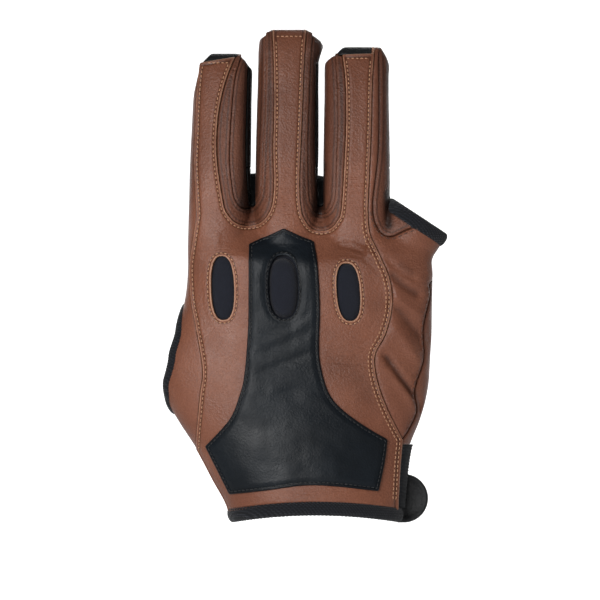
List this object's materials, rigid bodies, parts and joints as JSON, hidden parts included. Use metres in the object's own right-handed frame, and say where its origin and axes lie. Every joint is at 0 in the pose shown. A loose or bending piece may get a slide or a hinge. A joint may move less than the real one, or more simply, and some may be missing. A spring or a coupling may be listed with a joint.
{
  "type": "archery glove",
  "caption": "Right-hand leather archery glove with covered index, middle and ring fingers, bare thumb and little finger, dark back patch, oval knuckle windows and bound openings.",
  "frame": {"origin": "centre of the wrist opening, level with its edge", "axes": "+Z along the fingers, -Y out of the back of the hand, +X towards the little finger"},
  "size_m": [0.1136, 0.0444, 0.1982],
  "materials": {
    "brown_leather": "satin brown grain leather with fine creases and lighter raw edges",
    "black_leather": "semi-gloss black leather with soft wrinkles",
    "stretch_fabric": "matte black stretch fabric",
    "knit_binding": "matte black knitted edge binding",
    "woven_closure": "ribbed black woven closure band"
  },
  "bodies": {
    "root": {"back_panel": "brown_leather", "gusset_index_middle": "brown_leather", "gusset_middle_ring": "brown_leather", "fourchette_index_middle": "brown_leather", "fourchette_middle_ring": "brown_leather", "fourchette_ring_pinky": "brown_leather", "side_panel": "brown_leather", "palm_panel": "brown_leather", "palm_web": "black_leather", "finger_pad_index": "black_leather", "finger_pad_middle": "black_leather", "finger_pad_ring": "black_leather", "back_patch": "black_leather", "closure_tab": "black_leather", "knuckle_insert_index": "stretch_fabric", "knuckle_insert_middle": "stretch_fabric", "knuckle_insert_ring": "stretch_fabric", "thumb_binding": "knit_binding", "pinky_binding": "knit_binding", "wrist_binding": "knit_binding", "closure_strap": "woven_closure"}
  },
  "joints": []
}
